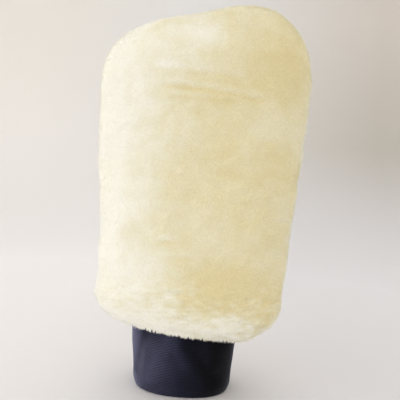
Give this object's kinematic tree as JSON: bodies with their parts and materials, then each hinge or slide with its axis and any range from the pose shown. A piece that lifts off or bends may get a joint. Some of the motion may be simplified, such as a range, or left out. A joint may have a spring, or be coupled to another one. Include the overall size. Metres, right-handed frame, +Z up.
{
  "type": "sheepskin wash mitt",
  "caption": "Thumbless wash mitt of dense sheared wool on two sewn hides, lined inside, with a short elasticated knitted cuff.",
  "frame": {"origin": "middle of the cuff's rim, in the plane of the rim", "axes": "+Z runs up the mitt from the cuff to the fingertips, -Y is the palm side, +Y the back of the hand, +X the wearer's side where the top edge is higher"},
  "size_m": [0.172, 0.0942, 0.3129],
  "materials": {
    "wool": "dense sheared wool pile",
    "hide": "suede, undyed",
    "cream_thread": "twisted thread",
    "white_thread": "twisted thread",
    "navy_thread": "twisted thread",
    "lining_knit": "soft plain knit",
    "cuff_knit": "fine cross-ribbed stretch knit",
    "tape": "twill tape",
    "elastic": "woven elastic",
    "label_satin": "blank satin ribbon"
  },
  "bodies": {
    "root": {"palm_fleece": "wool", "back_fleece": "wool", "palm_hide": "hide", "back_hide": "hide", "shell_seam_stitches": "cream_thread", "palm_lining": "lining_knit", "back_lining": "lining_knit", "lining_seam_stitches": "white_thread", "cuff_band": "cuff_knit", "cuff_side_seam_stitches": "navy_thread", "cuff_join_stitches": "cream_thread", "seam_tape": "tape", "hem_elastic": "elastic", "care_label": "label_satin", "label_stitches": "white_thread"}
  },
  "joints": []
}
